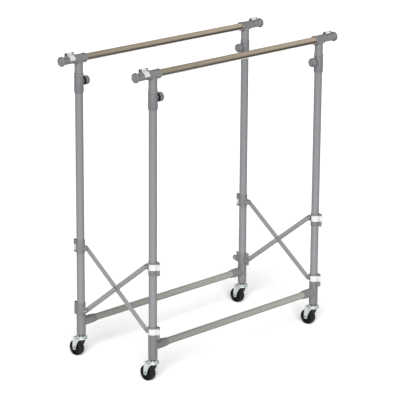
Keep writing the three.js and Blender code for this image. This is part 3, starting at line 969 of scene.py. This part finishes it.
def rubber_look(name, color, roughness):
    """Dark wheel stock: matt skin, fine pitting and pale dust where it rolls."""
    look = Look(name, color, roughness=roughness, specular=0.12)
    look.tint(look.ramped(look.noise(5, detail=6), 0.5, 0.75, 0, 0.2), tuple(c * 2 for c in color))
    look.tint(look.ramped(look.noise(0.7, detail=3), 0.6, 0.75, 0, 0.4), tuple(c * 0.4 for c in color))
    look.rough(look.noise(2, detail=4), 0.1)
    look.bump(look.noise(0.6, detail=3), 0.05).bump(look.noise(4, detail=3), 0.06, 0.5)
    return look.done()


PAINT = {
    "post": paint_look("post_paint", srgb(103, 104, 106), UPRIGHT),
    "bar": paint_look("bar_paint", srgb(119, 119, 115), LENGTHWAYS),
    "brace": paint_look("brace_paint", srgb(115, 115, 115), (1, 0.2, 0.2)),
}
CHROME = {
    # The rail's last two colours are a painted reflection: the dark stripe low on each flank and the pale
    # underside.
    "rail": rail_look("rail_plate", srgb(146, 134, 118), srgb(30, 24, 17), srgb(215, 208, 196)),
    "bolt": chrome_look("bolt_black", srgb(52, 52, 54), 0.4, (1, 1, 1)),
    "tube": chrome_look("tube_plate", srgb(205, 206, 208), 0.16, UPRIGHT),
    "pin": chrome_look("pin_plate", srgb(150, 150, 150), 0.3, (1, 1, 1)),
}
PLASTIC = {
    "fitting": plastic_look("fitting_plastic", srgb(92, 92, 92)),
    "collar": plastic_look("collar_plastic", srgb(86, 86, 90)),
    # Painted highlight: the lighter plastic of the ring along the collar's top rim.
    "pale": plastic_look("rim_highlight_plastic", srgb(114, 114, 118)),
    "knob": plastic_look("knob_plastic", srgb(90, 90, 90)),
    "lever": plastic_look("lever_plastic", srgb(168, 168, 167), 0.32, edge=1.0, grain=0.6),
}
ZINC = zinc_look("fork_zinc", srgb(172, 179, 175))
WHEEL_BODY = rubber_look("wheel_body", srgb(3, 3, 3), 0.45)
WHEEL_TREAD = rubber_look("wheel_tread", srgb(22, 22, 22), 0.6)


# ------------------------------------------------------------------ assembly
def place_tubes():
    post = finished(tube(POST_R, POST_BORE, POST_LOW, POST_TOP))
    inner = finished(tube(TUBE_R, TUBE_BORE, TUBE_LOW, TUBE_TOP))
    rail = finished(tube(RAIL_R, RAIL_BORE, -RAIL_HALF, RAIL_HALF, axis="x", at=(0, 0, RAIL_Z)))
    bar = finished(tube(BAR_R, BAR_BORE, -BAR_HALF, BAR_HALF, axis="x", at=(0, 0, BAR_Z)))
    for end in ENDS:
        centre = (0, POST_AXIS[end, "left"].y, 0)
        place(rail, f"{end}_rail_look", centre, f"{end}_rail_set", CHROME["rail"],
              replaces=f"{end}_rail")
        place(bar, f"{end}_base_bar_look", centre, f"{end}_frame", PAINT["bar"],
              replaces=f"{end}_base_bar")
        for side in SIDES:
            tag, spot = f"{end}_{side}", POST_AXIS[end, side]
            place(post, f"{tag}_post_look", spot, f"{end}_frame", PAINT["post"],
                  replaces=f"{tag}_post")
            place(inner, f"{tag}_inner_tube_look", spot, f"{end}_rail_set", CHROME["tube"],
                  replaces=f"{tag}_inner_tube")
    drop(post, inner, rail, bar)


def place_tops():
    tee = finished(tee_shape())
    tee_pin = finished(tee_pin_shape())
    lever = finished(rail_lever_shape())
    rod_ends = (-TEE_OUT - CLEAR, ROD_LENGTH - ROD_OUT)
    rod = finished(tube(TUBE_R, TUBE_BORE, *rod_ends, axis="x", at=(0, 0, RAIL_Z)))
    stop = finished(end_stop_shape())
    collar = finished(height_collar_shape())
    lip = finished(collar_highlight_ring_shape())
    shade_ring = finished(knob_shade_ring_shape())
    knob = finished(knob_shape())
    for end in ENDS:
        for side in SIDES:
            tag, spot, turn = f"{end}_{side}", POST_AXIS[end, side], side == "right"
            rails, rod_body = f"{end}_rail_set", f"{tag}_extension_rod"
            place(tee, f"{tag}_top_tee_look", spot, rails, PLASTIC["fitting"], turn,
                  f"{tag}_top_tee")
            place(tee_pin, f"{tag}_rail_lever_pin", spot, rails, CHROME["bolt"], turn)
            place(lever, f"{tag}_rail_lever_look", spot, f"{tag}_rail_lever", PLASTIC["lever"],
                  turn, f"{tag}_rail_lever")
            place(rod, f"{tag}_extension_tube", spot, rod_body, CHROME["tube"], turn,
                  rod_body)
            place(stop, f"{tag}_end_stop", spot, rod_body, PLASTIC["fitting"], turn)
            place(collar, f"{tag}_height_collar_look", spot, f"{end}_frame", PLASTIC["collar"],
                  turn, f"{tag}_height_collar")
            # Painted highlight: the pale ring along the collar's top rim.
            place(lip, f"{tag}_collar_highlight_ring", spot, f"{end}_frame", PLASTIC["pale"], turn)
            # Painted shade: a near-black ring in the gap behind the knob.
            place(shade_ring, f"{tag}_knob_shade_ring", spot, f"{end}_frame", WHEEL_BODY, turn)
            place(knob, f"{tag}_height_knob_look", spot, f"{tag}_height_knob", PLASTIC["knob"],
                  turn, f"{tag}_height_knob")
    drop(tee, tee_pin, lever, rod, stop, collar, lip, shade_ring, knob)


def place_clamps():
    lever = finished(lever_shape(CLAMP_R, PIN_AT, grooves=(3.2, 6.6, 10.9, 14.3)))
    low_front = finished(clamp_shape(CLAMP_LOW, LUG_FACE["front_low"], LEVER_DROP["front"]))
    high_front = finished(clamp_shape(CLAMP_HIGH, LUG_FACE["front_high"], LEVER_DROP["front"]))
    rear_low_x, rear_t = LUG_FACE["rear_high"]
    high_rear = finished(clamp_shape(CLAMP_HIGH, (-rear_low_x - rear_t, rear_t), LEVER_DROP["rear"]))
    clamp_pin = finished(pin_shape(PIN_AT, 1.0, CLAMP_TALL - 1.0))
    kinds = [
        ("front", "lower", low_front, CLAMP_LOW),
        ("front", "upper", high_front, CLAMP_HIGH),
        ("rear", "upper", high_rear, CLAMP_HIGH),
    ]
    for end, level, clamp, bottom in kinds:
        lever_low = bottom + CLAMP_TALL - LEVER_DROP[end] - CLEAR - LEVER_TALL
        for side in SIDES:
            tag, spot, turn = f"{end}_{side}_{level}", POST_AXIS[end, side], end == "rear"
            body = "front_frame" if level == "lower" else f"{tag}_clamp"
            pin_spot = spot + Vector((0, 0, bottom))
            lever_spot = spot + Vector((0, 0, lever_low))
            place(clamp, f"{tag}_clamp_look", spot, body, PLASTIC["fitting"], turn,
                  f"{tag}_clamp")
            place(clamp_pin, f"{tag}_clamp_pin", pin_spot, body, CHROME["bolt"], turn)
            place(lever, f"{tag}_lever_look", lever_spot, f"{tag}_lever", PLASTIC["lever"],
                  turn, f"{tag}_lever")
    drop(lever, low_front, high_front, high_rear, clamp_pin)


def place_feet():
    foot = finished(foot_shape())
    low_x, thick = LUG_FACE["rear_low"]
    rear = {
        "left": finished(rear_foot_shape(-low_x - thick)),
        "right": finished(rear_foot_shape(low_x)),
    }
    screw = finished(pin_shape(PIN_AT, CLAMP_TALL - 23.5, CLAMP_TALL - 0.9))
    for side in SIDES:
        turn = side == "right"
        for end, shape in (("front", foot), ("rear", rear[side])):
            tag = f"{end}_{side}_lower_tee"
            place(shape, f"{tag}_look", POST_AXIS[end, side], f"{end}_frame", PLASTIC["fitting"],
                  turn, tag)
    for side in SIDES:
        spot = POST_AXIS["rear", side] + Vector((0, 0, CLAMP_LOW))
        place(screw, f"rear_{side}_pinch_screw", spot, "rear_frame", CHROME["bolt"], True)
    drop(foot, screw, *rear.values())


def place_braces():
    start = joint_at("fold")
    crossing = joint_at("left_brace_cross")
    length = 2 * (crossing - start).length
    rise = math.atan2(crossing.z - start.z, crossing.y - start.y)
    strip_a = strip_shape(length, LAYER_A, False, (0, length / 2, length))
    strip_b = strip_shape(length, LAYER_B, True, (0, length / 2, length))
    moved(strip_a, Matrix.Rotation(rise, 4, "X"))
    moved(strip_b, Matrix.Rotation(math.pi - rise, 4, "X"))
    finished(strip_a)
    finished(strip_b)
    far = LAYER_A + STRIP_T
    reach = {key: (a - CLEAR, a + t + CLEAR) for key, (a, t) in LUG_FACE.items()}
    rivets = {
        "low_front": ("a", "fold", rivet_shape(LAYER_A, reach["front_low"][1])),
        "high_rear": ("a", "rear_left_upper_clamp_pivot", rivet_shape(reach["rear_high"][0], far)),
        "crossing": ("a", "left_brace_cross", rivet_shape(LAYER_B - CLEAR, far)),
        "high_front": ("b", "front_left_upper_clamp_pivot", rivet_shape(LAYER_B, reach["front_high"][1])),
        "low_rear": ("b", "rear_frame_pivot", rivet_shape(reach["rear_low"][0], LAYER_B + STRIP_T)),
    }
    for _, _, shape in rivets.values():
        finished(shape)
    for side in SIDES:
        x = POST_AXIS["front", side].x
        at_start = Vector((x, start.y, start.z))
        at_rear = Vector((x, joint_at("rear_frame_pivot").y, start.z))
        place(strip_a, f"{side}_brace_a_look", at_start, f"{side}_brace_a", PAINT["brace"],
              replaces=f"{side}_brace_a")
        place(strip_b, f"{side}_brace_b_look", at_rear, f"{side}_brace_b", PAINT["brace"],
              replaces=f"{side}_brace_b")
        for name, (strip, pivot, shape) in rivets.items():
            at = joint_at(pivot)
            place(shape, f"{side}_rivet_{name}", (x, at.y, at.z), f"{side}_brace_{strip}",
                  CHROME["pin"])
    drop(strip_a, strip_b, *(shape for _, _, shape in rivets.values()))


def place_casters():
    fork = finished(fork_shape())
    race = finished(race_shape())
    stem = finished(stem_shape())
    axle = finished(axle_shape())
    shade_dots = finished(race_shade_dots_shape())
    shade_sheet = finished(shade_sheet_shape())
    ring = finished(gathered([ball_shape(2 * math.pi * i / BALLS) for i in range(BALLS)]))
    body, tread = (finished(part) for part in wheel_parts())
    for end in ENDS:
        for side in SIDES:
            tag, spot = f"{end}_{side}", POST_AXIS[end, side]
            swivel, wheel = f"{tag}_caster_fork", f"{tag}_caster_wheel"
            place(fork, f"{tag}_fork_look", spot, swivel, ZINC, replaces=swivel)
            place(race, f"{tag}_swivel_race", spot, swivel, ZINC)
            place(stem, f"{tag}_swivel_stem", spot, swivel, CHROME["pin"])
            place(ring, f"{tag}_race_balls", spot, swivel, CHROME["pin"])
            place(axle, f"{tag}_axle_bolt", spot, swivel, CHROME["pin"])
            # Painted shade: near-black dots on the race top, under the tee.
            place(shade_dots, f"{tag}_race_shade_dots", spot, swivel, WHEEL_BODY)
            # Painted shade: a near-black sheet across the fork's front, where the inside of the fork lies
            # in shadow.
            place(shade_sheet, f"{tag}_wheel_shade_sheet", spot, swivel, WHEEL_BODY)
            place(body, f"{tag}_wheel_body", spot, wheel, WHEEL_BODY, replaces=wheel)
            place(tread, f"{tag}_wheel_tread", spot, wheel, WHEEL_TREAD)
    drop(fork, race, stem, axle, shade_dots, shade_sheet, ring, body, tread)


place_tubes()
place_tops()
place_clamps()
place_feet()
place_braces()
place_casters()


# ------------------------------------------------------------------ stage, light and camera
def floor():
    """Plain pale floor, large enough to fill the view."""
    bm = bmesh.new()
    bmesh.ops.create_circle(bm, cap_ends=True, segments=96, radius=40)
    obj = as_object(bm, "floor")
    look = Look("floor_paint", (0.9, 0.9, 0.9), roughness=0.9, specular=0.0)
    obj.data.materials.append(look.done())


def sky():
    """Studio dome: pale overhead, darker near the horizon."""
    world = bpy.data.worlds.new("studio")
    bpy.context.scene.world = world
    world.use_nodes = True
    tree = world.node_tree
    coordinates = tree.nodes.new("ShaderNodeTexCoord")
    split = tree.nodes.new("ShaderNodeSeparateXYZ")
    ramp = tree.nodes.new("ShaderNodeValToRGB")
    tree.links.new(coordinates.outputs["Generated"], split.inputs["Vector"])
    tree.links.new(split.outputs["Z"], ramp.inputs["Fac"])
    stops = ramp.color_ramp.elements
    stops[0].position, stops[0].color = 0.0, (0.045, 0.035, 0.025, 1)
    stops[1].position, stops[1].color = 1.0, (0.95, 0.95, 0.96, 1)
    between = {0.16: (0.06, 0.05, 0.04, 1), 0.26: (0.8, 0.76, 0.7, 1), 0.6: (0.9, 0.88, 0.86, 1)}
    for position, color in between.items():
        stops.new(position).color = color
    background = tree.nodes["Background"]
    tree.links.new(ramp.outputs["Color"], background.inputs["Color"])
    background.inputs["Strength"].default_value = 0.22


def sun(name, direction, strength, softness):
    light = bpy.data.lights.new(name, "SUN")
    light.energy = strength
    light.angle = math.radians(softness)
    obj = bpy.data.objects.new(name, light)
    bpy.context.scene.collection.objects.link(obj)
    obj.rotation_euler = Vector(direction).to_track_quat("-Z", "Y").to_euler()


CAMERA_OFFSET = Vector((-4.596, -4.413, 2.272))  # metres, from the floor midway between the posts
CAMERA_YAW, CAMERA_PITCH, CAMERA_ROLL = -0.8054, -0.2755, 0.0065
CAMERA_LENS = 187.7


def camera():
    lens = bpy.data.cameras.new("camera")
    lens.sensor_width = 36
    lens.lens = CAMERA_LENS
    obj = bpy.data.objects.new("camera", lens)
    bpy.context.scene.collection.objects.link(obj)
    centre = (POST_AXIS["front", "left"] + POST_AXIS["rear", "right"]) / 2 * MM
    cy, sy = math.cos(CAMERA_YAW), math.sin(CAMERA_YAW)
    cp, sp = math.cos(CAMERA_PITCH), math.sin(CAMERA_PITCH)
    ahead = Vector((-sy * cp, cy * cp, sp))
    level = Vector((cy, sy, 0))
    rise = level.cross(ahead)
    right = level * math.cos(CAMERA_ROLL) + rise * math.sin(CAMERA_ROLL)
    up = rise * math.cos(CAMERA_ROLL) - level * math.sin(CAMERA_ROLL)
    turn = Matrix((right, up, -ahead)).transposed().to_4x4()
    obj.matrix_world = Matrix.Translation(centre + CAMERA_OFFSET) @ turn
    bpy.context.scene.camera = obj


floor()
sky()
sun("key", (0.72, 0.66, -0.5), 6.6, 45)
sun("top", (0.1, 0.15, -1.0), 0.6, 60)
camera()
bpy.context.scene.view_settings.view_transform = "Standard"
